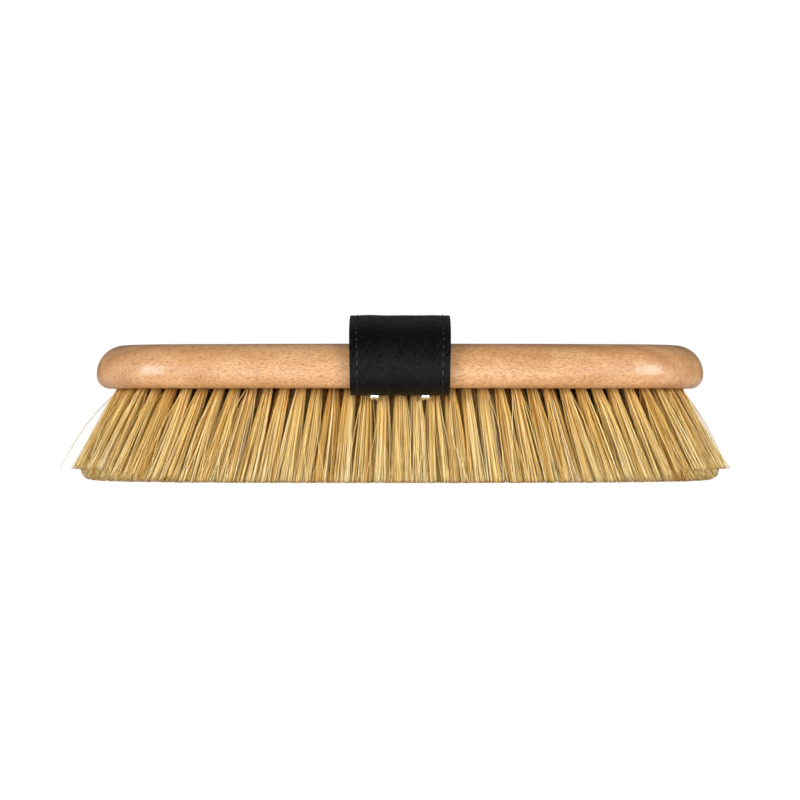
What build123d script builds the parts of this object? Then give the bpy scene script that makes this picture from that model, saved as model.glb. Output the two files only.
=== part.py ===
from build123d import *
import math
import os

# Body dry brush: an oval beech block, set with leaning tufts of plant fibre that are each
# held by a flat wire anchor, and a lined leather hand strap that is screwed under the
# block's two long sides.
# Millimetres.  Origin: middle of the brush, in the plane of the trimmed bristle tips.
# +X along the block, +Y away from the front long side, +Z up towards the hand strap.

# Block
block_length = 205.0
block_width = 82.0
block_thickness = 14.6
block_end_radius = 33.0          # plan radius of the rounded ends
block_top_round = 9.5            # large round, where the hand rests
block_bottom_round = 4.5
bristle_free_length = 30.8       # from the tip plane to the underside of the block

# Tufts
hole_diameter = 3.4
hole_depth = 9.0                 # measured along the leaning hole
tuft_diameter = 3.3              # where the fibres fill the hole
tip_diameter = 5.2               # where the fibres have spread, at the trimmed tips
tuft_pitch = 5.3                 # spacing along a ring
ring_spacing = 5.6
ring_count = 5
ring_stagger = 0.5              # every other ring is shifted by this share of a pitch
outer_ring_half_length = 93.9
outer_ring_half_width = 30.4
outer_ring_end_radius = 24.0
centre_row_half_length = 42.4
fan_x = 195.0                    # a tuft at x leans outward by x / fan_x
fan_y = 112.0                    # and a tuft at y by y / fan_y
straight_lean = 1e-6             # a lean smaller than this counts as straight down

# Outline that the tips are trimmed to, rounded up at its rim
tip_half_length = 109.0
tip_half_width = 45.0
tip_end_radius = 37.0
tip_rim_round = 5.0

tuft_floor_gap = 0.05            # between the folded fibres and the end of the hole
stem_top = -hole_depth + tuft_floor_gap

# Anchors: a flat wire across each hole, with the tuft folded over it
anchor_thickness = 0.35
anchor_height = 1.8
anchor_width = 3.3
anchor_floor_gap = 1.3           # the folded fibres pass between the wire and the hole's floor

# Strap
strap_width = 32.4
leather_thickness = 1.5
lining_thickness = 0.8
strap_clearance = 0.05           # between the lining and the wood
strap_crown_height = 55.5        # top of the arch above the tip plane
strap_corner_radius = 15.0       # outer radius where the side turns over towards the top
strap_shoulder_slope = 21.0      # slope where that corner meets the shoulder, degrees
strap_crown_slope = 2.0          # slope where the shoulder meets the nearly flat crown, degrees
strap_crown_half = 14.0          # y where it does
strap_tail_end = 33.3            # y where the tail ends under the block

# Stitching along both long edges of the strap
stitch_inset = 2.4
stitch_length = 2.3
stitch_pitch = 3.1
stitch_diameter = 0.5
stitch_lift = 0.12               # keeps a straight stitch clear of the curved leather

# Strap screws
screw_x = 8.3
screw_y = 35.4
screw_head_diameter = 4.0
screw_rim_height = 0.5           # straight edge of the head, under its dome
screw_dome_height = 1.2
screw_shank_diameter = 2.4
screw_shank_length = 9.0
screw_point_length = 2.0
screw_point_diameter = 0.3
screw_hole_diameter = 2.5
recess_width = 0.7
recess_span = 2.4
recess_depth = 0.9

block_bottom = bristle_free_length
block_top = block_bottom + block_thickness
half_width = block_width / 2
strap_thickness = lining_thickness + leather_thickness
leather_start = strap_clearance + lining_thickness
leather_end = strap_clearance + strap_thickness
strap_underside = block_bottom - leather_end
screw_places = [(sx * screw_x, sy * screw_y) for sx in (-1, 1) for sy in (-1, 1)]


def oval(half_length, half_width, end_radius):
    """Closed outline of tangent arcs, from the front middle round by the right end."""
    reach = half_length - end_radius
    side_radius = (reach**2 + half_width**2 - end_radius**2) / (2 * (half_width - end_radius))
    side_centre = side_radius - half_width
    turn = math.degrees(math.atan2(reach, side_centre))
    arcs = [
        CenterArc((0, side_centre), side_radius, -90, turn),
        CenterArc((reach, 0), end_radius, turn - 90, 180 - 2 * turn),
        CenterArc((0, -side_centre), side_radius, 90 - turn, 2 * turn),
        CenterArc((-reach, 0), end_radius, 90 + turn, 180 - 2 * turn),
        CenterArc((0, side_centre), side_radius, 270 - turn, turn),
    ]
    return Wire([arc.edge() for arc in arcs])


def oval_prism(outline, bottom, height, bottom_round, top_round=0.0):
    """An upright oval solid with its lower rim rounded, and its upper rim if asked."""
    prism = Pos(0, 0, bottom) * extrude(Face(outline), height)
    prism = fillet(prism.edges().group_by(Axis.Z)[0], bottom_round)
    if top_round:
        prism = fillet(prism.edges().group_by(Axis.Z)[-1], top_round)
    return prism


def save(name, pieces):
    """One STEP file for a node, whether it is one solid or a group of separate solids."""
    solids = [piece.solid() for piece in pieces]
    shape = solids[0] if len(solids) == 1 else Compound(children=solids)
    shape.label = name
    export_step(shape, f"parts/{name}.step")


# Places of the tufts


def ring_places(ring):
    """Evenly spaced hole centres on one ring, each ring staggered against its neighbours."""
    inward = ring * ring_spacing
    outline = oval(
        outer_ring_half_length - inward,
        outer_ring_half_width - inward,
        outer_ring_end_radius - inward,
    )
    count = 4 * round(outline.length / tuft_pitch / 4)
    stagger = ring_stagger * (ring % 2)
    places = [outline @ ((i + stagger) / count) for i in range(count)]
    return [(place.X, place.Y) for place in places]


def centre_row_places():
    """Evenly spaced hole centres along the middle of the block."""
    gaps = round(2 * centre_row_half_length / tuft_pitch)
    step = 2 * centre_row_half_length / gaps
    return [(-centre_row_half_length + i * step, 0.0) for i in range(gaps + 1)]


def mouth_plane(place):
    """Plane at a hole's mouth: its Z runs out along the leaning tuft, its Y stays level."""
    x, y = place
    outward = Vector(x / fan_x, y / fan_y, -1).normalized()
    level = Vector(0, 0, 1).cross(outward)
    if level.length < straight_lean:
        level = Vector(0, 1, 0)
    return Plane(origin=(x, y, block_bottom), x_dir=level.cross(outward), z_dir=outward)


# Sub-parts made in the mouth plane of their own hole


def upright(radius, bottom, height):
    """A cylinder about Z that starts at the given height."""
    return Pos(0, 0, bottom + height / 2) * Cylinder(radius, height)


def hole_tool(place):
    overrun = hole_diameter
    tool = upright(hole_diameter / 2, -hole_depth, hole_depth + overrun)
    return mouth_plane(place).location * tool


def anchor_blank(width):
    middle = -hole_depth + anchor_floor_gap + anchor_height / 2
    return Pos(0, 0, middle) * Box(anchor_thickness, width, anchor_height)


def tuft(place, trim):
    """Fibres folded over their anchor, full in the hole and spreading to the trimmed tips."""
    mouth = mouth_plane(place)
    root = tuft_diameter / 2
    length = block_bottom / abs(mouth.z_dir.Z) + tip_diameter
    spread = (tip_diameter - tuft_diameter) / 2 * length / block_bottom
    stem = upright(root, stem_top, -stem_top)
    brush = Pos(0, 0, length / 2) * Cone(root, root + spread, length)
    slot = anchor_blank(2 * hole_diameter)
    fibres = mouth.location * (stem + brush - slot)
    return fibres & trim


# The strap's section lies in the YZ plane, as a set of skins at chosen distances from the wood


def strap_skin(distance):
    """Edges of one skin of the strap, from the rear tail over the arch to the front tail."""
    inset = leather_end - distance
    below = block_bottom - distance
    side = half_width + distance
    turn_y = half_width - block_bottom_round
    turn_z = block_bottom + block_bottom_round

    # centres of the crown, shoulder and corner arcs, each tangent to the last
    crown_slope = math.radians(strap_crown_slope)
    shoulder_slope = math.radians(strap_shoulder_slope)
    crown_radius = strap_crown_half / math.sin(crown_slope)
    crown_z = strap_crown_height - crown_radius
    corner_y = half_width + leather_end - strap_corner_radius
    shoulder_y_run = corner_y + strap_corner_radius * math.sin(shoulder_slope) - strap_crown_half
    shoulder_radius = shoulder_y_run / (math.sin(shoulder_slope) - math.sin(crown_slope))
    shoulder_y = strap_crown_half - shoulder_radius * math.sin(crown_slope)
    shoulder_z = crown_z + (crown_radius - shoulder_radius) * math.cos(crown_slope)
    corner_z = shoulder_z + (shoulder_radius - strap_corner_radius) * math.cos(shoulder_slope)

    corner_turn = 90 - strap_shoulder_slope
    shoulder_turn = strap_shoulder_slope - strap_crown_slope
    half = [
        Edge.make_line((strap_tail_end, below), (turn_y, below)),
        CenterArc((turn_y, turn_z), block_bottom_round + distance, -90, 90).edge(),
        Edge.make_line((side, turn_z), (side, corner_z)),
        CenterArc((corner_y, corner_z), strap_corner_radius - inset, 0, corner_turn).edge(),
        CenterArc((shoulder_y, shoulder_z), shoulder_radius - inset, corner_turn, shoulder_turn).edge(),
        CenterArc((0, crown_z), crown_radius - inset, 90 - strap_crown_slope, strap_crown_slope).edge(),
    ]
    return half + [edge.mirror(Plane.YZ) for edge in reversed(half)]


def strap_layer(inner, outer):
    """One layer of the strap between two skins, with its screw holes."""
    tails = [
        Edge.make_line((side * strap_tail_end, block_bottom - inner),
                       (side * strap_tail_end, block_bottom - outer))
        for side in (1, -1)
    ]
    section = Face(Wire(strap_skin(inner) + strap_skin(outer) + tails))
    layer = extrude(Plane.YZ * section, strap_width / 2, both=True)
    return layer - [Pos(x, y, 0) * upright(screw_hole_diameter / 2, 0, block_top)
                    for x, y in screw_places]


def stitching(side):
    """A row of separate stitches along one long edge, each lying on the leather."""
    centre_height = leather_end + stitch_lift + stitch_diameter / 2
    path = Wire(strap_skin(centre_height))
    x = side * (strap_width / 2 - stitch_inset)
    count = int(path.length / stitch_pitch)
    row = []
    for i in range(count):
        middle = (i + 0.5) / count
        spot = path @ middle
        run = path % middle
        along = Plane(origin=(x, spot.X, spot.Y), x_dir=(1, 0, 0), z_dir=(0, run.X, run.Y))
        row.append(along.location * Cylinder(stitch_diameter / 2, stitch_length))
    return row


def screw():
    """Domed wood screw with a cross recess, its head down and the origin under the head."""
    radius = screw_head_diameter / 2
    head_height = screw_rim_height + screw_dome_height
    dome = (radius**2 + screw_dome_height**2) / (2 * screw_dome_height)
    head = Pos(0, 0, dome - head_height) * Sphere(dome)
    head &= upright(radius, -head_height, head_height)
    shank = upright(screw_shank_diameter / 2, 0, screw_shank_length)
    tip = Pos(0, 0, screw_shank_length + screw_point_length / 2) * Cone(
        screw_shank_diameter / 2, screw_point_diameter / 2, screw_point_length
    )
    slot = Pos(0, 0, recess_depth / 2 - head_height)
    cross = slot * Box(recess_span, recess_width, recess_depth)
    cross += slot * Box(recess_width, recess_span, recess_depth)
    return head + shank + tip - cross


# The pieces, each saved in its own node

os.makedirs("parts", exist_ok=True)

rings = [ring_places(ring) for ring in range(ring_count)]
middle_row = centre_row_places()
all_places = sum(rings, middle_row)

block_outline = oval(block_length / 2, half_width, block_end_radius)
block = oval_prism(block_outline, block_bottom, block_thickness, block_bottom_round, block_top_round)
block -= [hole_tool(place) for place in all_places]
screw_hole_depth = screw_shank_length + screw_point_length - leather_end
block -= [Pos(x, y, 0) * upright(screw_hole_diameter / 2, strap_underside, leather_end + screw_hole_depth)
          for x, y in screw_places]
save("wooden_block", [block])

save("strap_lining", [strap_layer(strap_clearance, leather_start)])
save("strap_leather", [strap_layer(leather_start, leather_end)])
save("left_edge_stitching", stitching(-1))
save("right_edge_stitching", stitching(1))
save("strap_screws", [Pos(x, y, strap_underside) * screw() for x, y in screw_places])
save("tuft_anchors", [mouth_plane(place).location * anchor_blank(anchor_width) for place in all_places])

tip_outline = oval(tip_half_length, tip_half_width, tip_end_radius)
trim = oval_prism(tip_outline, 0, block_top, tip_rim_round)

end_reach = outer_ring_half_length - outer_ring_end_radius
outer_groups = {
    "outer_tufts_front": [(x, y) for x, y in rings[0] if abs(x) < end_reach and y < 0],
    "outer_tufts_rear": [(x, y) for x, y in rings[0] if abs(x) < end_reach and y > 0],
    "outer_tufts_left": [(x, y) for x, y in rings[0] if x <= -end_reach],
    "outer_tufts_right": [(x, y) for x, y in rings[0] if x >= end_reach],
}
inner_groups = {
    "second_ring_tufts": rings[1],
    "third_ring_tufts": rings[2],
    "fourth_ring_tufts": rings[3],
    "fifth_ring_tufts": rings[4],
    "centre_row_tufts": middle_row,
}
for name, places in {**outer_groups, **inner_groups}.items():
    save(name, [tuft(place, trim) for place in places])
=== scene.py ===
import math

import bmesh
import bpy
import numpy as np
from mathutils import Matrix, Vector, noise


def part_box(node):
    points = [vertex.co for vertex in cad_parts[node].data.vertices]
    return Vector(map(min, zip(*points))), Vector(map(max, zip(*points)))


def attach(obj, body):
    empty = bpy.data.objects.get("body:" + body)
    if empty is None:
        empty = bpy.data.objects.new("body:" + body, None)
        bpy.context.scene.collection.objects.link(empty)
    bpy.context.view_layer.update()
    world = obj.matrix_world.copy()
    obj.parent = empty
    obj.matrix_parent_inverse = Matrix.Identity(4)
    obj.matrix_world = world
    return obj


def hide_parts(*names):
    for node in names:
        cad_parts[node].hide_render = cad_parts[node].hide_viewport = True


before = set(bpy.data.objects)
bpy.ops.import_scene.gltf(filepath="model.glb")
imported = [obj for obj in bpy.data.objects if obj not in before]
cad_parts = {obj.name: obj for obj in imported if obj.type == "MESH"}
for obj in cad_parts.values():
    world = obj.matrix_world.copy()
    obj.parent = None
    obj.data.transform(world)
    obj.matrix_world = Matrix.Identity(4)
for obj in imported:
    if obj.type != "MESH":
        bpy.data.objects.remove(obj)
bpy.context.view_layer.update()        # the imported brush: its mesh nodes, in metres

mm = 0.001


# small helpers

def linearColour(hexValue):
    # sRGB hex to the linear numbers that shaders work in
    channels = [int(hexValue[i:i + 2], 16) / 255 for i in (1, 3, 5)]
    return [c / 12.92 if c <= 0.04045 else ((c + 0.055) / 1.055) ** 2.4 for c in channels] + [1.0]


def addNode(tree, kind, settings=None, values=None, links=None, stops=None):
    # one node, with its settings, its plain input values, what feeds it, and a ramp's stops
    node = tree.nodes.new(kind)
    for name, value in (settings or {}).items():
        setattr(node, name, value)
    for socket, value in (values or {}).items():
        node.inputs[socket].default_value = value
    for socket, source in (links or {}).items():
        tree.links.new(source, node.inputs[socket])
    for number, (place, colour) in enumerate(stops or []):
        ramp = node.color_ramp.elements
        stop = ramp[number] if number < len(ramp) else ramp.new(place)
        stop.position = place
        stop.color = linearColour(colour) if isinstance(colour, str) else [colour] * 3 + [1.0]
    return node


def newMaterial(name):
    material = bpy.data.materials.new(name)
    material.use_nodes = True
    tree = material.node_tree
    tree.nodes.clear()
    output = tree.nodes.new("ShaderNodeOutputMaterial")
    surface = tree.nodes.new("ShaderNodeBsdfPrincipled")
    tree.links.new(surface.outputs["BSDF"], output.inputs["Surface"])
    return material, tree, surface


def setValues(surface, values):
    for socket, value in values.items():
        surface.inputs[socket].default_value = value


def dressNode(nodeName, material):
    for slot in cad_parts[nodeName].material_slots:
        slot.material = material


def placePiece(name, mesh, material, nodeName):
    # a finished mesh becomes a piece of the brush, in place of a CAD node
    mesh.materials.append(material)
    piece = bpy.data.objects.new(name, mesh)
    bpy.context.scene.collection.objects.link(piece)
    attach(piece, "root")
    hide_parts(nodeName)
    return piece


def addPiece(name, points, faces, material, nodeName):
    mesh = bpy.data.meshes.new(name)
    mesh.from_pydata(points, [], faces)
    mesh.validate()
    mesh.polygons.foreach_set("use_smooth", [True] * len(mesh.polygons))
    return placePiece(name, mesh, material, nodeName)


# camera: level with the underside of the block, square to the long side

cameraSetup = {
    "distance": 850 * mm,     # from the middle of the brush
    "height": 27 * mm,
    "frameWidth": 271.1 * mm,  # width of the view at the middle of the brush
    "sensor": 36.0,
}

cameraData = bpy.data.cameras.new("camera")
cameraData.sensor_width = cameraSetup["sensor"]
cameraData.lens = cameraSetup["sensor"] * cameraSetup["distance"] / cameraSetup["frameWidth"]
cameraData.clip_start = 0.05
camera = bpy.data.objects.new("camera", cameraData)
camera.location = (0, -cameraSetup["distance"], cameraSetup["height"])
camera.rotation_euler = (math.radians(90), 0, 0)
bpy.context.scene.collection.objects.link(camera)
bpy.context.scene.camera = camera
bpy.context.scene.view_settings.view_transform = "Standard"
print("camera ready")


# stage: a pale floor, a soft light at each side, a low strip in front and a dim panel above the back

stageSetup = {
    "floorRadius": 0.75, "floorSides": 96,
    "floorDrop": 0.05 * mm,    # keeps the floor just under the tips
    "floorColour": "#f7f6f4",
    "floorGlow": 0.2,          # how much the floor lights the brush from below
    "floorWhite": 0.80,        # how much it adds to what the eye sees of the floor
    "ambient": 0.05,
    "lights": {
        "left softbox": {"size": (0.55, 0.9), "power": 17.0, "place": (-0.92, -0.78, 0.14)},
        "right softbox": {"size": (0.55, 0.9), "power": 17.0, "place": (0.92, -0.78, 0.14)},
        "front strip": {"size": (1.1, 0.14), "power": 2.6, "place": (0.0, -1.15, 0.11)},
        "back panel": {"size": (1.8, 1.3), "power": 0.9, "place": (0.0, 0.85, 0.88)},
    },
}


def seenOrLighting(tree, lighting, seen):
    # one strength for the rays that light the brush, another for what the eye sees
    rays = addNode(tree, "ShaderNodeLightPath")
    return addNode(tree, "ShaderNodeMapRange", values={"To Min": lighting, "To Max": seen},
                   links={"Value": rays.outputs["Is Camera Ray"]}).outputs["Result"]


def addFloor(setup):
    material, tree, surface = newMaterial("pale product table")
    setValues(surface, {"Base Color": linearColour(setup["floorColour"]), "Roughness": 0.9,
                        "Emission Color": (1, 1, 1, 1)})
    tree.links.new(seenOrLighting(tree, setup["floorGlow"], setup["floorWhite"]),
                   surface.inputs["Emission Strength"])
    mesh = bpy.data.meshes.new("floor")
    sides = setup["floorSides"]
    rim = [(setup["floorRadius"] * math.cos(2 * math.pi * i / sides),
            setup["floorRadius"] * math.sin(2 * math.pi * i / sides), -setup["floorDrop"])
           for i in range(sides)]
    mesh.from_pydata(rim, [], [list(range(sides))])
    mesh.materials.append(material)
    floor = bpy.data.objects.new("floor", mesh)
    bpy.context.scene.collection.objects.link(floor)


def addSoftLight(name, setup):
    data = bpy.data.lights.new(name, "AREA")
    data.shape = "RECTANGLE"
    data.size, data.size_y = setup["size"]
    data.energy = setup["power"]
    light = bpy.data.objects.new(name, data)
    light.location = setup["place"]
    aim = Vector((0, 0, 30 * mm)) - light.location
    light.rotation_euler = aim.to_track_quat("-Z", "Y").to_euler()
    light.visible_camera = False
    bpy.context.scene.collection.objects.link(light)


def addSurroundings(setup):
    # the room: dim as a light, white to the eye
    world = bpy.data.worlds.new("studio")
    bpy.context.scene.world = world
    world.use_nodes = True
    tree = world.node_tree
    tree.nodes.clear()
    glow = addNode(tree, "ShaderNodeBackground", values={"Color": (1, 1, 1, 1)},
                   links={"Strength": seenOrLighting(tree, setup["ambient"], 1.0)})
    addNode(tree, "ShaderNodeOutputWorld", links={"Surface": glow.outputs[0]})


addFloor(stageSetup)
for lightName, lightSetup in stageSetup["lights"].items():
    addSoftLight(lightName, lightSetup)
addSurroundings(stageSetup)
print("stage ready")


# beech: the block is shaped and sanded, then given a thin satin lacquer

beech = {
    "pale": "#dfb081", "body": "#d09d6b", "rose": "#c08a5b", "fleck": "#86502a",
    "fleckLength": 1.5 * mm, "fleckWidth": 0.34 * mm,   # the rays of beech, cut lengthwise
    "bandWidth": 6.0 * mm,                               # growth rings
    "wander": 24 * mm,                                   # how far apart the grain changes its course
    "roughness": 0.40, "lacquer": 0.45,
}


def makeBeech(setup):
    # short brown flecks along a wandering grain, under a lacquer that gives one soft band of light
    material, tree, surface = newMaterial("satin lacquered beech")
    place = addNode(tree, "ShaderNodeTexCoord").outputs["Object"]
    drift = addNode(tree, "ShaderNodeTexNoise", values={"Scale": 1 / setup["wander"], "Detail": 2.0},
                    links={"Vector": place})
    centred = addNode(tree, "ShaderNodeVectorMath", {"operation": "SUBTRACT"}, {1: (0.5, 0.5, 0.5)},
                      {0: drift.outputs["Color"]})
    bent = addNode(tree, "ShaderNodeVectorMath", {"operation": "MULTIPLY_ADD"},
                   {1: (0.004, 0.012, 0.016)}, {0: centred.outputs[0], 2: place})
    alongGrain = addNode(tree, "ShaderNodeMapping",
                         values={"Scale": (1 / setup["fleckLength"], 1 / setup["fleckWidth"],
                                           1 / setup["fleckWidth"])}, links={"Vector": bent.outputs[0]})
    flecks = addNode(tree, "ShaderNodeTexNoise", values={"Scale": 1.0, "Detail": 2.0, "Roughness": 0.55},
                     links={"Vector": alongGrain.outputs[0]})
    fleckMask = addNode(tree, "ShaderNodeValToRGB", links={"Fac": flecks.outputs["Fac"]},
                        stops=[(0.47, 0.0), (0.66, 1.0)])
    ringSpace = addNode(tree, "ShaderNodeMapping",
                        values={"Scale": (0.07 / setup["bandWidth"], 1 / setup["bandWidth"],
                                          1 / setup["bandWidth"])}, links={"Vector": bent.outputs[0]})
    rings = addNode(tree, "ShaderNodeTexNoise", values={"Scale": 1.0, "Detail": 3.0},
                    links={"Vector": ringSpace.outputs[0]})
    ground = addNode(tree, "ShaderNodeValToRGB", links={"Fac": rings.outputs["Fac"]},
                     stops=[(0.30, setup["rose"]), (0.50, setup["body"]), (0.72, setup["pale"])])
    strength = addNode(tree, "ShaderNodeMath", {"operation": "MULTIPLY"}, {1: 0.6},
                       {0: fleckMask.outputs["Color"]})
    colour = addNode(tree, "ShaderNodeMix", {"data_type": "RGBA"}, {"B": linearColour(setup["fleck"])},
                     {"Factor": strength.outputs[0], "A": ground.outputs["Color"]})
    shine = addNode(tree, "ShaderNodeMapRange", values={"To Min": setup["roughness"] - 0.06,
                                                        "To Max": setup["roughness"] + 0.14},
                    links={"Value": flecks.outputs["Fac"]})
    relief = addNode(tree, "ShaderNodeBump", values={"Strength": 0.35, "Distance": 0.03 * mm},
                     links={"Height": flecks.outputs["Fac"]})
    tree.links.new(colour.outputs["Result"], surface.inputs["Base Color"])
    tree.links.new(shine.outputs["Result"], surface.inputs["Roughness"])
    tree.links.new(relief.outputs["Normal"], surface.inputs["Normal"])
    setValues(surface, {"IOR": 1.5, "Coat Weight": setup["lacquer"], "Coat Roughness": 0.22})
    return material


dressNode("wooden_block", makeBeech(beech))
print("beech block ready")


# metal: nickel-plated steel screws, and the bare wire that holds the tufts

screwFinish = {"colour": "#d5d8da", "roughness": 0.17, "scuffSize": 0.5 * mm}
wireFinish = {"colour": "#b4b3b0", "roughness": 0.38, "scuffSize": 0.8 * mm}


def makeMetal(name, setup):
    # a bright metal with faint handling marks that break up its reflections
    material, tree, surface = newMaterial(name)
    place = addNode(tree, "ShaderNodeTexCoord").outputs["Object"]
    marks = addNode(tree, "ShaderNodeTexNoise", values={"Scale": 1 / setup["scuffSize"], "Detail": 4.0},
                    links={"Vector": place})
    shine = addNode(tree, "ShaderNodeMapRange", values={"To Min": setup["roughness"] - 0.06,
                                                        "To Max": setup["roughness"] + 0.12},
                    links={"Value": marks.outputs["Fac"]})
    tree.links.new(shine.outputs["Result"], surface.inputs["Roughness"])
    setValues(surface, {"Metallic": 1.0, "Base Color": linearColour(setup["colour"])})
    return material


dressNode("strap_screws", makeMetal("nickel plated steel", screwFinish))
dressNode("tuft_anchors", makeMetal("drawn steel wire", wireFinish))
print("metal ready")


# tufts: stiff tampico fibre, folded into each hole and trimmed level

fibre = {
    "diameter": 0.29 * mm,
    "rootRadius": 1.62 * mm,     # the hole is full of fibre
    "tipRadius": 3.9 * mm,       # the tuft has spread into its neighbours by the tips
    "inHole": 1.6 * mm,          # how far a fibre starts inside the hole
    "clumps": 6,
    "clumpPull": 0.34,
    "scatter": 0.42 * mm,
    "bow": 0.42 * mm,
    "strayShare": 0.07,
    "strayReach": 2.6 * mm,
    "ragged": 0.42 * mm,
    "fanX": 195 * mm, "fanY": 112 * mm,       # a tuft leans out by its place over these
    "rimCentre": 72 * mm, "rimStart": 32 * mm, "rimRound": 5 * mm,
    "shades": [(0.0, "#a8742a"), (0.16, "#ddad4e"), (0.45, "#f4d386"), (0.74, "#fbe7a9"),
               (1.0, "#fff5d2")],
    # along each fibre: browner at the root, white over most of it, and a dark last stop that is painted
    # shade at the cut tips
    "lengthwiseWithTipShade": [(0.0, "#d9a966"), (0.3, "#f8eac6"), (0.955, "#ffffff"), (0.985, "#8d6330")],
    "middleShade": 0.52, "fibreVaries": 0.20, "clumpVaries": 0.10, "tuftVaries": 0.05,
    "taper": 0.22,               # share of its thickness that a fibre loses by the tip
    "sides": 3,
    "roughness": 0.42,
}
tuftGroups = {
    # node it replaces: (fibres in each tuft, points along each fibre)
    "outer_tufts_front": (96, 9), "outer_tufts_rear": (96, 9),
    "outer_tufts_left": (96, 9), "outer_tufts_right": (96, 9),
    "second_ring_tufts": (70, 6), "third_ring_tufts": (70, 6), "fourth_ring_tufts": (70, 6),
    "fifth_ring_tufts": (70, 6), "centre_row_tufts": (70, 6),
}


def makeFibreMaterial(setup):
    # waxy plant fibre: each its own shade of straw, browner at the root, softly glossy; the dark cut tips
    # are painted shade between the tips
    material, tree, surface = newMaterial("trimmed tampico fibre")
    lanes = addNode(tree, "ShaderNodeUVMap", {"uv_map": "OFBake"})
    apart = addNode(tree, "ShaderNodeSeparateXYZ", links={"Vector": lanes.outputs["UV"]})
    shade = addNode(tree, "ShaderNodeValToRGB", links={"Fac": apart.outputs["Y"]},
                    stops=setup["shades"])
    # the dark end of this ramp is painted shade at the cut tips
    alongFibreWithTipShade = addNode(tree, "ShaderNodeValToRGB", links={"Fac": apart.outputs["X"]},
                         stops=setup["lengthwiseWithTipShade"])
    colour = addNode(tree, "ShaderNodeMix", {"data_type": "RGBA", "blend_type": "MULTIPLY"},
                     {"Factor": 0.75}, {"A": shade.outputs["Color"], "B": alongFibreWithTipShade.outputs["Color"]})
    tree.links.new(colour.outputs["Result"], surface.inputs["Base Color"])
    setValues(surface, {"Roughness": setup["roughness"], "IOR": 1.5})
    return material


def looseParts(nodeName):
    # the middle of each separate solid of a group node
    source = bmesh.new()
    source.from_mesh(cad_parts[nodeName].data)
    bmesh.ops.remove_doubles(source, verts=source.verts, dist=0.002 * mm)
    source.verts.ensure_lookup_table()
    seen = set()
    parts = []
    for start in source.verts:
        if start in seen:
            continue
        seen.add(start)
        part, edge = [], [start]
        while edge:
            vertex = edge.pop()
            part.append(vertex.co.copy())
            for link in vertex.link_edges:
                other = link.other_vert(vertex)
                if other not in seen:
                    seen.add(other)
                    edge.append(other)
        parts.append(np.array(part))
    source.free()
    return parts


def holeMouths():
    # each anchor sits on its hole's line, so it gives the mouth of that hole
    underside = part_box("wooden_block")[0][2]
    mouths = []
    for part in looseParts("tuft_anchors"):
        middle = (part.min(axis=0) + part.max(axis=0)) / 2
        above = middle[2] - underside
        mouths.append((middle[0] / (1 - above / fibre["fanX"]), middle[1] / (1 - above / fibre["fanY"]),
                       underside))
    return np.array(mouths)


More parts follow.
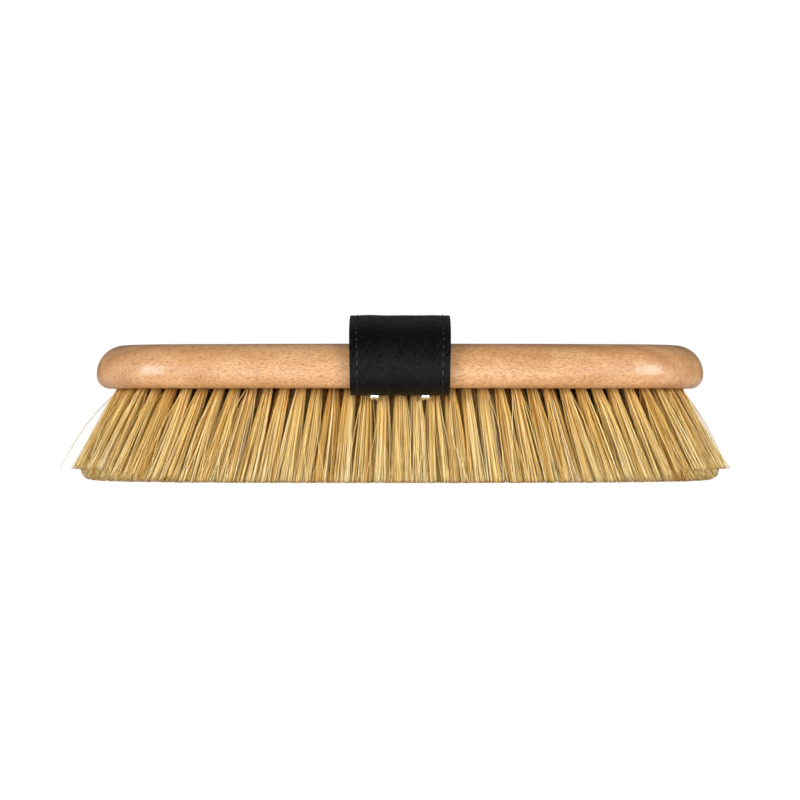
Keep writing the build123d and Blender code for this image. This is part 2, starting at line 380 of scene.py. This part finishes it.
def growTufts(name, nodeName, mouths, perTuft, stations, material, seed):
    rng = np.random.default_rng(seed)
    tufts = len(mouths)
    lean = np.stack([mouths[:, 0] / fibre["fanX"], mouths[:, 1] / fibre["fanY"], -np.ones(tufts)], axis=1)
    axis = lean / np.linalg.norm(lean, axis=1, keepdims=True)
    sideways = np.cross(axis, (0.0, 1.0, 0.0))
    sideways /= np.linalg.norm(sideways, axis=1, keepdims=True)
    level = np.cross(axis, sideways)

    # where each fibre leaves the hole and where it ends, across its tuft
    angle = rng.uniform(0, 2 * math.pi, (tufts, perTuft))
    out = np.sqrt(rng.uniform(0, 1, (tufts, perTuft)))
    root = fibre["rootRadius"] * out[..., None] * np.stack([np.cos(angle), np.sin(angle)], axis=-1)
    clumpAngle = rng.uniform(0, 2 * math.pi, (tufts, fibre["clumps"]))
    clumpOut = rng.uniform(0.35, 0.9, (tufts, fibre["clumps"]))
    clumpSpot = clumpOut[..., None] * np.stack([np.cos(clumpAngle), np.sin(clumpAngle)], axis=-1)
    gap = np.linalg.norm(root[:, :, None] / fibre["rootRadius"] - clumpSpot[:, None], axis=-1)
    nearest = gap.argmin(axis=2)
    clump = np.take_along_axis(clumpSpot, nearest[..., None], axis=1)
    spread = root / fibre["rootRadius"]
    tip = fibre["tipRadius"] * (spread + fibre["clumpPull"] * (clump - spread))
    tip += rng.normal(0, fibre["scatter"], tip.shape)
    stray = rng.uniform(0, 1, (tufts, perTuft)) < fibre["strayShare"]
    tip += stray[..., None] * rng.normal(0, fibre["strayReach"], tip.shape)
    bow = rng.normal(0, fibre["bow"], tip.shape) * (1 + 2.5 * stray[..., None])
    bow += 0.35 * rng.normal(0, fibre["bow"], (tufts, 1, 2))

    # each fibre is cut where its own line meets the trimming surface
    toTip = tip[..., :1] * sideways[:, None] + tip[..., 1:] * level[:, None]
    reach = mouths[:, 2][:, None] / -axis[:, 2][:, None] * np.ones((tufts, perTuft))
    for attempt in range(3):
        end = mouths[:, None] + reach[..., None] * axis[:, None] + toTip
        beyond = np.hypot(np.maximum(abs(end[..., 0]) - fibre["rimCentre"], 0), end[..., 1])
        beyond = np.where(abs(end[..., 0]) > fibre["rimCentre"], beyond - fibre["rimStart"], 0)
        beyond = np.clip(beyond, 0, 0.97 * fibre["rimRound"])
        rise = fibre["rimRound"] - np.sqrt(fibre["rimRound"] ** 2 - beyond ** 2)
        reach += (end[..., 2] - rise) / -axis[:, 2][:, None]
    reach -= np.abs(rng.normal(0, fibre["ragged"], reach.shape))

    # points along each fibre, from inside the hole to the cut tip
    run = np.linspace(0, 1, stations)
    along = -fibre["inHole"] + run * (reach[..., None] + fibre["inHole"])
    share = np.clip(along / reach[..., None], 0, 1)
    offset = root[:, :, None] + (tip - root)[:, :, None] * share[..., None] ** 0.92
    offset += bow[:, :, None] * (np.sin(math.pi * share) * (1 - 0.3 * share))[..., None]
    centre = (mouths[:, None, None] + along[..., None] * axis[:, None, None]
              + offset[..., :1] * sideways[:, None, None] + offset[..., 1:] * level[:, None, None])

    sides = fibre["sides"]
    taper = 1 - fibre["taper"] * run ** 2
    size = fibre["diameter"] / 2 * rng.uniform(0.8, 1.18, (tufts, perTuft, 1)) * taper
    turn = rng.uniform(0, 2 * math.pi, (tufts, perTuft, 1, 1)) + np.arange(sides) * 2 * math.pi / sides
    ring = (np.cos(turn)[..., None] * sideways[:, None, None, None]
            + np.sin(turn)[..., None] * level[:, None, None, None])
    points = centre[:, :, :, None] + size[..., None, None] * ring
    count = tufts * perTuft
    points = points.reshape(-1, 3)

    # faces of one fibre, repeated for all of them
    oneFibre = []
    for station in range(stations - 1):
        for side in range(sides):
            here = station * sides + side
            beside = station * sides + (side + 1) % sides
            oneFibre.append((here, beside, beside + sides, here + sides))
    first = np.arange(count)[:, None] * stations * sides
    quads = (np.array(oneFibre)[None] + first[:, :, None]).reshape(-1, 4)
    rootCaps = first + np.array([2, 1, 0])
    tipCaps = first + (stations - 1) * sides + np.array([0, 1, 2])

    mesh = bpy.data.meshes.new(name)
    corners = np.concatenate([quads.ravel(), rootCaps.ravel(), tipCaps.ravel()]).astype(np.int32)
    sizes = np.concatenate([np.full(len(quads), 4), np.full(2 * count, 3)]).astype(np.int32)
    starts = np.concatenate([[0], np.cumsum(sizes)[:-1]]).astype(np.int32)
    mesh.vertices.add(len(points))
    mesh.vertices.foreach_set("co", points.astype(np.float32).ravel())
    mesh.loops.add(len(corners))
    mesh.loops.foreach_set("vertex_index", corners)
    mesh.polygons.add(len(sizes))
    mesh.polygons.foreach_set("loop_start", starts)
    mesh.polygons.foreach_set("use_smooth", np.ones(len(sizes), dtype=bool))

    # the map's first axis runs along a fibre, its second gives the fibre's shade
    clumpShade = rng.normal(0, fibre["clumpVaries"], (tufts, fibre["clumps"]))
    shade = fibre["middleShade"] + rng.normal(0, fibre["fibreVaries"], (tufts, perTuft))
    shade += np.take_along_axis(clumpShade, nearest, axis=1)
    shade = np.clip(shade + rng.normal(0, fibre["tuftVaries"], (tufts, 1)), 0.03, 0.97).ravel()
    layer = mesh.uv_layers.new(name="OFBake")
    whichFibre = corners // (stations * sides)
    whichStation = (corners % (stations * sides)) // sides
    lane = np.stack([0.02 + 0.96 * run[whichStation], shade[whichFibre]], axis=1)
    layer.data.foreach_set("uv", lane.astype(np.float32).ravel())
    mesh.update(calc_edges=True)
    mesh.validate()
    placePiece(name, mesh, material, nodeName)


fibreMaterial = makeFibreMaterial(fibre)
allMouths = holeMouths()
for number, (nodeName, (perTuft, stations)) in enumerate(tuftGroups.items()):
    stems = []
    for part in looseParts(nodeName):
        inHole = part[part[:, 2] > allMouths[0, 2] + 2 * mm]
        stems.append((inHole.min(axis=0) + inHole.max(axis=0)) / 2)
    stems = np.array(stems)
    spacing = np.linalg.norm(stems[:, None, :2] - allMouths[None, :, :2] * 0.97, axis=2)
    mouths = allMouths[spacing.argmin(axis=1)]
    growTufts(nodeName.replace("tufts", "fibres"), nodeName, mouths, perTuft, stations,
              fibreMaterial, 11 + number)
    print(nodeName, len(mouths), "tufts grown")


# strap: black grained leather over a lining, with a stitched line near each long edge.
# Its section is a tail under the block, a turn, a side, then corner, shoulder and crown arcs.

strap = {
    "width": 32.4 * mm,
    "spread": 0.8 * mm,           # how much wider the leather has stretched over the hand
    "clearance": 0.05 * mm,
    "lining": 0.8 * mm,
    "leather": 1.5 * mm,
    "cornerRadius": 15 * mm,
    "shoulderSlope": 21.0, "crownSlope": 2.0,   # degrees, where the corner and the crown begin
    "crownHalf": 14 * mm,
    "tailEnd": 33.3 * mm,
    "turnRadius": 4.5 * mm,
    "edgeRound": 0.45 * mm, "edgePoints": 5,
    "edgeFade": 1.2 * mm,         # the grain fades out over this much at each long edge
    "step": 0.34 * mm,            # spacing of the mesh along and across the outside
    "coarser": 6,                 # and how many times wider it is across the inside
    "grooveInset": 2.4 * mm, "grooveDepth": 0.22 * mm, "grooveWidth": 0.55 * mm,
    "creaseDepth": 0.20 * mm,
    "black": "#070708", "worn": "#111112",
    "slant": 24.0,                # degrees that the wrinkles lean from the strap's own line
    "wrinkleSize": (0.75 * mm, 1.5 * mm, 2.3 * mm), "wrinkleShare": 0.07,
    "pebble": 0.5 * mm, "grainDepth": 0.09 * mm,
    "roughness": 0.30,
}
thread = {
    "length": 2.5 * mm, "pitch": 3.1 * mm, "diameter": 0.46 * mm, "twist": 0.32 * mm,
    "sink": 0.06 * mm,            # how deep the middle of a stitch lies
    "dive": 0.32 * mm,            # and how much deeper its ends go
    "slant": 0.10, "slantVaries": 0.05,
    "rounds": 8, "stations": 9,
    "shadow": "#070707", "colour": "#101011", "roughness": 0.36,
}
lining = {"nap": 0.35 * mm, "napDepth": 0.08 * mm, "dark": "#1d1c1c", "pale": "#3a3838",
          "roughness": 0.9, "sheen": 0.25}


def strapSkin(distance, step):
    # points and outward directions of one skin of the strap, from the rear tail to the front one
    low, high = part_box("wooden_block")
    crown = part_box("strap_leather")[1][2]
    outside = strap["clearance"] + strap["lining"] + strap["leather"]
    inset = outside - distance
    halfWidth = high[1]
    crownSlope, shoulderSlope = math.radians(strap["crownSlope"]), math.radians(strap["shoulderSlope"])
    crownRadius = strap["crownHalf"] / math.sin(crownSlope)
    crownZ = crown - crownRadius
    cornerY = halfWidth + outside - strap["cornerRadius"]
    shoulderRun = cornerY + strap["cornerRadius"] * math.sin(shoulderSlope) - strap["crownHalf"]
    shoulderRadius = shoulderRun / (math.sin(shoulderSlope) - math.sin(crownSlope))
    shoulderY = strap["crownHalf"] - shoulderRadius * math.sin(crownSlope)
    shoulderZ = crownZ + (crownRadius - shoulderRadius) * math.cos(crownSlope)
    cornerZ = shoulderZ + (shoulderRadius - strap["cornerRadius"]) * math.cos(shoulderSlope)
    turnY = halfWidth - strap["turnRadius"]
    turnZ = low[2] + strap["turnRadius"]
    quarter = math.pi / 2
    stretches = [
        ("line", (strap["tailEnd"], low[2] - distance), (turnY, low[2] - distance), -quarter),
        ("arc", (turnY, turnZ), strap["turnRadius"] + distance, (-quarter, 0.0)),
        ("line", (halfWidth + distance, turnZ), (halfWidth + distance, cornerZ), 0.0),
        ("arc", (cornerY, cornerZ), strap["cornerRadius"] - inset, (0.0, quarter - shoulderSlope)),
        ("arc", (shoulderY, shoulderZ), shoulderRadius - inset,
         (quarter - shoulderSlope, quarter - crownSlope)),
        ("arc", (0.0, crownZ), crownRadius - inset, (quarter - crownSlope, quarter)),
    ]
    spots = []
    for kind, first, second, facing in stretches:
        length = math.dist(first, second) if kind == "line" else second * abs(facing[1] - facing[0])
        # counts come from the outer skin, so that both skins have matching points
        outerLength = length if kind == "line" else (second + inset) * abs(facing[1] - facing[0])
        pieces = max(2, round(outerLength / step))
        for i in range(pieces):
            share = i / pieces
            if kind == "line":
                spots.append((first[0] + share * (second[0] - first[0]),
                              first[1] + share * (second[1] - first[1]),
                              math.cos(facing), math.sin(facing)))
            else:
                turn = facing[0] + share * (facing[1] - facing[0])
                spots.append((first[0] + second * math.cos(turn), first[1] + second * math.sin(turn),
                              math.cos(turn), math.sin(turn)))
    top = (0.0, crown - inset, 0.0, 1.0)
    mirrored = [(-y, z, -outY, outZ) for y, z, outY, outZ in reversed(spots)]
    return np.array(spots + [top] + mirrored)


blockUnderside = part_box("wooden_block")[0][2]
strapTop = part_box("strap_leather")[1][2]


def widening(z):
    # the strap keeps its width where it is screwed down and is a little wider over the hand
    share = min(1.0, max(0.0, (z - blockUnderside) / (strapTop - blockUnderside)))
    return 1 + strap["spread"] / strap["width"] * share * share * (3 - 2 * share)


def strapRun(skin):
    steps = np.linalg.norm(np.diff(skin[:, :2], axis=0), axis=1)
    return np.concatenate([[0], np.cumsum(steps)])


def creases(x, s):
    # how far the leather stands in or out at x across and s along, in metres
    across, along = x / mm, s / mm
    drift = 2.2 * noise.noise((across / 9, along / 9, 3.1))
    u = across * 0.86 + along * 0.42 + drift
    v = -across * 0.42 + along * 0.86
    fine = noise.noise((u / 1.1, v / 3.4, 0.0))
    cross = noise.noise(((across * 0.8 - along * 0.6) / 1.5, (across * 0.6 + along * 0.8) / 4.2, 7.7))
    pebble = noise.noise((across / 0.75, along / 0.75, 5.0))
    broad = noise.noise((across / 6.5, along / 8.0, 9.0))
    ridge = 1 - min(1.0, abs(fine) * 4.5)
    second = 1 - min(1.0, abs(cross) * 5.5)
    amount = 0.55 + 0.6 * noise.noise((across / 11, along / 11, 2.0))
    return strap["creaseDepth"] * (-0.75 * ridge * amount - 0.4 * second + 0.28 * pebble + 0.7 * broad)


def layLayer(name, nodeName, inner, outer, material, grained):
    # a closed strip between two skins, its long edges and ends rounded
    innerSkin, outerSkin = strapSkin(inner, strap["step"]), strapSkin(outer, strap["step"])
    run = strapRun(outerSkin)
    thickness = outer - inner
    soft = min(strap["edgeRound"], thickness * 0.48)
    half = strap["width"] / 2
    columns = round(strap["width"] / strap["step"])
    flat = np.linspace(-half + soft, half - soft, columns)
    corner = np.linspace(0, math.pi / 2, strap["edgePoints"])
    # the ring of one section: (x, height between the skins), over the outside and back inside
    high = thickness - soft
    ring = [(-half + soft - soft * math.cos(a), high + soft * math.sin(a)) for a in corner[:-1]]
    ring += [(x, thickness) for x in flat]
    ring += [(half - soft + soft * math.sin(a), high + soft * math.cos(a)) for a in corner[1:]]
    ring += [(half - soft + soft * math.cos(a), soft - soft * math.sin(a)) for a in corner[:-1]]
    ring += [(x, 0.0) for x in reversed(flat[::strap["coarser"]])]
    ring += [(-half + soft - soft * math.sin(a), soft - soft * math.cos(a)) for a in corner[1:]]
    points = []
    stations = len(outerSkin)
    for i in range(stations):
        fromEnd = min(run[i], run[-1] - run[i])
        # the last of each tail thins to a rounded edge
        pinch = 1 if fromEnd > soft else 0.25 + 0.75 * math.sqrt(max(0.0, 1 - (1 - fromEnd / soft) ** 2))
        y0, z0 = innerSkin[i, :2]
        outward = outerSkin[i, 2:]
        wider = widening(outerSkin[i, 1])
        for x, height in ring:
            centred = thickness / 2 + (height - thickness / 2) * pinch
            lift = 0.0
            if grained and height > thickness * 0.6:
                nearEdge = min(1.0, (half - abs(x)) / strap["edgeFade"])
                lift = creases(x, run[i]) * (0.35 + 0.65 * nearEdge)
                offGroove = (abs(x) - (half - strap["grooveInset"])) / strap["grooveWidth"]
                lift -= strap["grooveDepth"] * math.exp(-offGroove ** 2 * 2)
            centred += lift
            points.append((x * wider, y0 + outward[0] * centred, z0 + outward[1] * centred))
    count = len(ring)
    faces = []
    for i in range(stations - 1):
        for j in range(count):
            k = (j + 1) % count
            faces.append((i * count + j, i * count + k, (i + 1) * count + k, (i + 1) * count + j))
    faces.append(list(range(count))[::-1])
    faces.append([(stations - 1) * count + j for j in range(count)])
    piece = addPiece(name, points, faces, material, nodeName)
    return piece


def layStitches(name, nodeName, side, material):
    # short stitches sunk in their groove, each end diving into the leather
    outside = strap["clearance"] + strap["lining"] + strap["leather"]
    skin = strapSkin(outside, strap["step"])
    run = strapRun(skin)
    rng = np.random.default_rng(41 + side)
    count = int(run[-1] / thread["pitch"])
    x = side * (strap["width"] / 2 - strap["grooveInset"])
    points, faces = [], []
    rounds, stations = thread["rounds"], thread["stations"]
    for n in range(count):
        middle = (n + 0.5) / count * run[-1]
        slant = rng.normal(0, thread["slantVaries"]) + thread["slant"] * side
        first = len(points)
        for i in range(stations):
            share = i / (stations - 1)
            place = middle + (share - 0.5) * thread["length"]
            y, z, outY, outZ = (np.interp(place, run, skin[:, c]) for c in range(4))
            size = thread["diameter"] / 2 * max(0.15, math.sin(math.pi * (0.08 + 0.84 * share)) ** 0.35)
            height = -thread["sink"] - thread["dive"] * abs(2 * share - 1) ** 4
            size *= 1 + 0.06 * math.sin(share * 2 * math.pi * thread["length"] / thread["twist"] / 2)
            middleX = x * widening(z) + (share - 0.5) * thread["length"] * slant
            for j in range(rounds):
                turn = 2 * math.pi * j / rounds
                shift = height + size * math.sin(turn)
                points.append((middleX + size * math.cos(turn), y + outY * shift, z + outZ * shift))
        for i in range(stations - 1):
            for j in range(rounds):
                k = (j + 1) % rounds
                faces.append((first + i * rounds + j, first + i * rounds + k,
                              first + (i + 1) * rounds + k, first + (i + 1) * rounds + j))
        faces.append([first + j for j in range(rounds)][::-1])
        faces.append([first + (stations - 1) * rounds + j for j in range(rounds)])
    return addPiece(name, points, faces, material, nodeName)


def makeLeather(setup):
    # drum-dyed, plated leather: almost black, its fine wrinkles and pebbles catching small glints
    material, tree, surface = newMaterial("black grained leather")
    place = addNode(tree, "ShaderNodeTexCoord").outputs["Object"]
    wrinkles = []
    for slant, seed in ((setup["slant"], 0.0), (-setup["slant"] * 0.7, 4.7)):
        turned = addNode(tree, "ShaderNodeMapping",
                         values={"Rotation": (0, math.radians(slant), 0), "Location": (seed, 0, 0),
                                 "Scale": [1 / size for size in setup["wrinkleSize"]]},
                         links={"Vector": place})
        folds = addNode(tree, "ShaderNodeTexNoise",
                        values={"Scale": 1.0, "Detail": 2.0, "Roughness": 0.6},
                        links={"Vector": turned.outputs[0]})
        level = addNode(tree, "ShaderNodeMath", {"operation": "SUBTRACT"}, {1: 0.5},
                        {0: folds.outputs["Fac"]})
        ridge = addNode(tree, "ShaderNodeMath", {"operation": "ABSOLUTE"}, links={0: level.outputs[0]})
        wrinkles.append(addNode(tree, "ShaderNodeMapRange", {"interpolation_type": "SMOOTHSTEP"},
                                {"From Max": setup["wrinkleShare"]}, {"Value": ridge.outputs[0]}))
    both = addNode(tree, "ShaderNodeMath", {"operation": "MULTIPLY"},
                   links={0: wrinkles[0].outputs["Result"], 1: wrinkles[1].outputs["Result"]})
    cells = addNode(tree, "ShaderNodeTexVoronoi", {"feature": "SMOOTH_F1"},
                    {"Scale": 1 / setup["pebble"], "Smoothness": 0.4}, {"Vector": place})
    grain = addNode(tree, "ShaderNodeMath", {"operation": "MULTIPLY_ADD"}, {1: -0.8},
                    {0: cells.outputs["Distance"], 2: both.outputs[0]})
    relief = addNode(tree, "ShaderNodeBump", values={"Strength": 1.0, "Distance": setup["grainDepth"]},
                     links={"Height": grain.outputs[0]})
    wear = addNode(tree, "ShaderNodeTexNoise", values={"Scale": 1 / (9 * mm), "Detail": 4.0},
                   links={"Vector": place})
    colour = addNode(tree, "ShaderNodeValToRGB", links={"Fac": wear.outputs["Fac"]},
                     stops=[(0.35, setup["black"]), (0.8, setup["worn"])])
    shine = addNode(tree, "ShaderNodeMapRange", values={"To Min": setup["roughness"] + 0.10,
                                                        "To Max": setup["roughness"] - 0.04},
                    links={"Value": both.outputs[0]})
    tree.links.new(colour.outputs["Color"], surface.inputs["Base Color"])
    tree.links.new(shine.outputs["Result"], surface.inputs["Roughness"])
    tree.links.new(relief.outputs["Normal"], surface.inputs["Normal"])
    setValues(surface, {"IOR": 1.5, "Specular IOR Level": 0.12})
    return material


def makeLining(setup):
    # split leather, brushed on its flesh side: dull, with a short nap
    material, tree, surface = newMaterial("brushed split leather")
    place = addNode(tree, "ShaderNodeTexCoord").outputs["Object"]
    nap = addNode(tree, "ShaderNodeTexNoise", values={"Scale": 1 / setup["nap"], "Detail": 5.0},
                  links={"Vector": place})
    colour = addNode(tree, "ShaderNodeValToRGB", links={"Fac": nap.outputs["Fac"]},
                     stops=[(0.3, setup["dark"]), (0.75, setup["pale"])])
    relief = addNode(tree, "ShaderNodeBump", values={"Strength": 0.6, "Distance": setup["napDepth"]},
                     links={"Height": nap.outputs["Fac"]})
    tree.links.new(colour.outputs["Color"], surface.inputs["Base Color"])
    tree.links.new(relief.outputs["Normal"], surface.inputs["Normal"])
    setValues(surface, {"Roughness": setup["roughness"], "Sheen Weight": setup["sheen"]})
    return material


def makeThread(setup):
    # waxed polyester thread, twisted: dark, with a fine slanted glint on each ply
    material, tree, surface = newMaterial("waxed polyester thread")
    place = addNode(tree, "ShaderNodeTexCoord").outputs["Object"]
    ply = addNode(tree, "ShaderNodeTexWave", {"bands_direction": "DIAGONAL"},
                  {"Scale": 0.31 / setup["twist"], "Distortion": 1.5}, {"Vector": place})
    colour = addNode(tree, "ShaderNodeValToRGB", links={"Fac": ply.outputs["Fac"]},
                     stops=[(0.2, setup["shadow"]), (0.8, setup["colour"])])
    relief = addNode(tree, "ShaderNodeBump", values={"Strength": 0.5, "Distance": 0.05 * mm},
                     links={"Height": ply.outputs["Fac"]})
    tree.links.new(colour.outputs["Color"], surface.inputs["Base Color"])
    tree.links.new(relief.outputs["Normal"], surface.inputs["Normal"])
    setValues(surface, {"Roughness": setup["roughness"]})
    return material


liningTop = strap["clearance"] + strap["lining"]
threadMaterial = makeThread(thread)
layLayer("strap_lining_layer", "strap_lining", strap["clearance"], liningTop, makeLining(lining),
         False)
layLayer("strap_leather_layer", "strap_leather", liningTop, liningTop + strap["leather"],
         makeLeather(strap), True)
layStitches("left_stitches", "left_edge_stitching", -1, threadMaterial)
layStitches("right_stitches", "right_edge_stitching", 1, threadMaterial)
print("strap ready")
